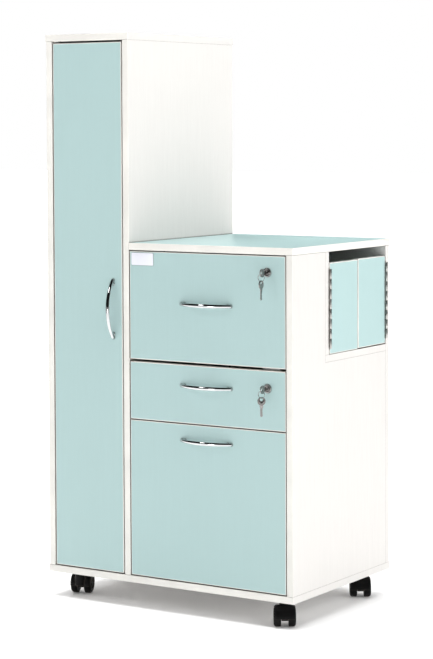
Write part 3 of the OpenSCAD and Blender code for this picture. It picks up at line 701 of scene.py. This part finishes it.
def castor_wheels(corner):
    """Two tyred wheels with ribbed dishes and hub caps, on one axle."""
    place = castor_frame(corner)[0]
    bm = bmesh.new()
    soft = 7 * MM
    tread = arc(WHEEL_OUT - soft, WHEEL_R - soft, soft, 90, 0, 9)
    profile = [(WHEEL_IN, CORE), (WHEEL_IN, WHEEL_R - 1.6 * MM),
               (WHEEL_IN + 0.5 * MM, WHEEL_R - 0.5 * MM), (WHEEL_IN + 1.6 * MM, WHEEL_R)]
    # The outer face from its rim to its hub: depth below the face and radius, in millimetres.
    dish = [(0, 17.2), (0.5, 16.9), (0.6, 16.2), (0.1, 15.8), (0.1, 14.4), (0.8, 13.9),
            (2.4, 13.2), (2.6, 7), (1.2, 6.2), (0.3, 5.6), (0.1, 4.8), (0.1, 0.1)]
    profile += tread + [(WHEEL_OUT - sunk * MM, r * MM) for sunk, r in dish]
    for side in (0, 180):
        face = place @ Matrix.Rotation(math.radians(side), 4, "Z")
        add_solid_turned(bm, profile, face, 72)
        for k in range(WHEEL_RIBS):
            spoke = face @ Matrix.Rotation(2 * math.pi * k / WHEEL_RIBS, 4, "X")
            low = Vector((WHEEL_OUT - 4 * MM, -1.3 * MM, 5 * MM))
            high = Vector((WHEEL_OUT - 1.1 * MM, 1.3 * MM, 14 * MM))
            add_block(bm, low, high, 0.6 * MM, lambda sx, sy, sz: sx > 0 and sz == 0, 3, spoke)
    end = WHEEL_IN + 1 * MM
    add_solid_turned(bm, [(-end, CORE), (-end, 3 * MM), (end, 3 * MM), (end, CORE)], place, 24)
    piece_of(bm, corner + "_castor_tyres", "castor_wheel", corner + "_wheel_pair", [corner + "_wheels"])


# ======== the small plate on the top front

def label_plate():
    """A blank plate with rounded corners and a soft front rim."""
    low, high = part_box("label_plate")
    bm = bmesh.new()
    add_block(bm, low, high, 3 * MM, lambda sx, sy, sz: sy == 0, 5)
    rims = [edge for edge in bm.edges if abs(edge.verts[0].co.y - low.y) < 0.01 * MM
            and abs(edge.verts[1].co.y - low.y) < 0.01 * MM and edge.calc_face_angle(0) > 1]
    bmesh.ops.bevel(bm, geom=rims, offset=0.35 * MM, segments=3, profile=0.5, affect="EDGES")
    piece_of(bm, "label_plate_blank", "label_plate", "top_drawer", ["label_plate"])


# ======== the studio

def studio_floor():
    """A white floor that glows away from the cabinet to meet a white background, except in mirrors."""
    bm = bmesh.new()
    bmesh.ops.create_grid(bm, x_segments=2, y_segments=2, size=40)
    mesh = bpy.data.meshes.new("floor")
    bm.to_mesh(mesh)
    bm.free()
    finish, tree, shader = start("studio_floor", (FLOOR_WHITE,) * 3, 0.9, specular=0.0)
    place = add(tree, "ShaderNodeTexCoord").outputs["Object"]
    away = add(tree, "ShaderNodeVectorMath", {0: place}, operation="LENGTH").outputs["Value"]
    glow = spread(tree, away, FLOOR_GLOW, 1, *FLOOR_FADE)
    mirrored = add(tree, "ShaderNodeLightPath").outputs["Is Glossy Ray"]
    glow = spread(tree, mirrored, glow, FLOOR_GLOW, 0, 1)
    shader.inputs["Emission Color"].default_value = (1, 1, 1, 1)
    tree.links.new(glow, shader.inputs["Emission Strength"])
    mesh.materials.append(finish)
    floor = bpy.data.objects.new("floor", mesh)
    bpy.context.collection.objects.link(floor)
    return floor


def studio_world():
    """White to the camera, dim in mirrored metal, else a bright ceiling over a dark band at eye height."""
    world = bpy.data.worlds.new("studio")
    bpy.context.scene.world = world
    world.use_nodes = True
    tree = world.node_tree
    way = add(tree, "ShaderNodeTexCoord").outputs["Generated"]
    height = add(tree, "ShaderNodeSeparateXYZ", {"Vector": way}).outputs["Z"]
    level = spread(tree, height, DARK_BAND, CEILING, 0.1, 0.6)
    path = add(tree, "ShaderNodeLightPath")
    shade = blend(tree, path.outputs["Is Glossy Ray"], level, (MIRRORED_ROOM,) * 3 + (1,))
    shade = blend(tree, path.outputs["Is Camera Ray"], shade, (1, 1, 1, 1))
    tree.links.new(shade, tree.nodes["Background"].inputs["Color"])


def soft_light(name, at, aim, size, power, mirrored=False):
    """A rectangular softbox; only a mirrored one shows in polished metal."""
    lamp = bpy.data.lights.new(name, "AREA")
    lamp.shape = "RECTANGLE"
    lamp.size, lamp.size_y = size
    lamp.energy = power
    holder = bpy.data.objects.new(name, lamp)
    holder.location = at
    holder.rotation_euler = (Vector(aim) - Vector(at)).to_track_quat("-Z", "Y").to_euler()
    holder.visible_camera = False
    holder.visible_glossy = mirrored
    bpy.context.collection.objects.link(holder)
    return holder


def light_only(holder, lit):
    """Keeps a light's effect to one object, while all others still cast shadows in it."""
    lit_alone = bpy.data.collections.new(holder.name + "_lights")
    lit_alone.objects.link(lit)
    holder.light_linking.receiver_collection = lit_alone


def camera():
    """Looks at the cabinet from the front right, a little above its middle, through a long lens."""
    out = math.cos(ELEVATION)
    back = Vector((math.sin(AZIMUTH) * out, -math.cos(AZIMUTH) * out, math.sin(ELEVATION)))
    level = Vector((0, 0, 1)).cross(back).normalized()
    up = back.cross(level)
    right = level * math.cos(ROLL) + up * math.sin(ROLL)
    up = back.cross(right)
    data = bpy.data.cameras.new("camera")
    data.lens = LENS
    data.sensor_width = SENSOR
    data.shift_y = SHIFT_UP
    holder = bpy.data.objects.new("camera", data)
    middle = (cad_bounds[0] + cad_bounds[1]) / 2
    aim = Vector((middle.x + AIM_OFF[0], middle.y + AIM_OFF[1], AIM_HEIGHT))
    turn = Matrix((right, up, back)).transposed().to_4x4()
    holder.matrix_world = Matrix.Translation(aim + back * DISTANCE) @ turn
    bpy.context.collection.objects.link(holder)
    bpy.context.scene.camera = holder


# ======== the whole

for name in NODES:
    paint_node(name, BEVELS.get(SLOTS[name], SMALL_BEVEL))

carcass_edging()
front_edging("wardrobe_door_edging", "wardrobe_door", 1)
for level in ("top", "middle", "bottom"):
    front_edging(level + "_drawer_edging", level + "_drawer", 1)
    bow_handle(level + "_drawer_handle", level + "_drawer_front", level + "_drawer")
for side in ("front", "rear"):
    front_edging(side + "_niche_edging", side + "_niche_door", 0)
bow_handle("wardrobe_handle", "wardrobe_door", "wardrobe_door")
for level, spare_turn in (("top", 0), ("middle", -40)):
    lock_set(level, level + "_drawer_front", level + "_drawer")
    spare_key(level, spare_turn)
for corner in ("front_left", "front_right", "rear_left", "rear_right"):
    castor_hood(corner)
    castor_wheels(corner)
label_plate()

floor = studio_floor()
studio_world()

# Each softbox: its name, place, aim, size in metres and power in watts.
soft_light("right_softbox", (4.4, -0.5, 2.2), (0.3, 0, 0.7), (2.6, 2.6), 92)
soft_light("top_softbox", (0.3, 0.4, 4.2), (0, 0, 0.5), (3.2, 3.2), 150)
soft_light("left_softbox", (-2.2, -3.4, 3.2), (0, 0, 0.8), (0.8, 0.8), 26, True)
soft_light("front_softbox", (-0.3, -4.2, 0.25), (0.1, 0, 0.1), (1.0, 0.4), 12, True)
soft_light("rear_softbox", (-2.6, 2.2, 2.6), (-0.4, -0.3, 0), (1.8, 1.8), 70)
light_only(soft_light("floor_softbox", (-0.4, -0.9, 4.5), (-0.2, -0.3, 0), (1.6, 1.6), 110), floor)
camera()
bpy.context.scene.view_settings.view_transform = "Standard"
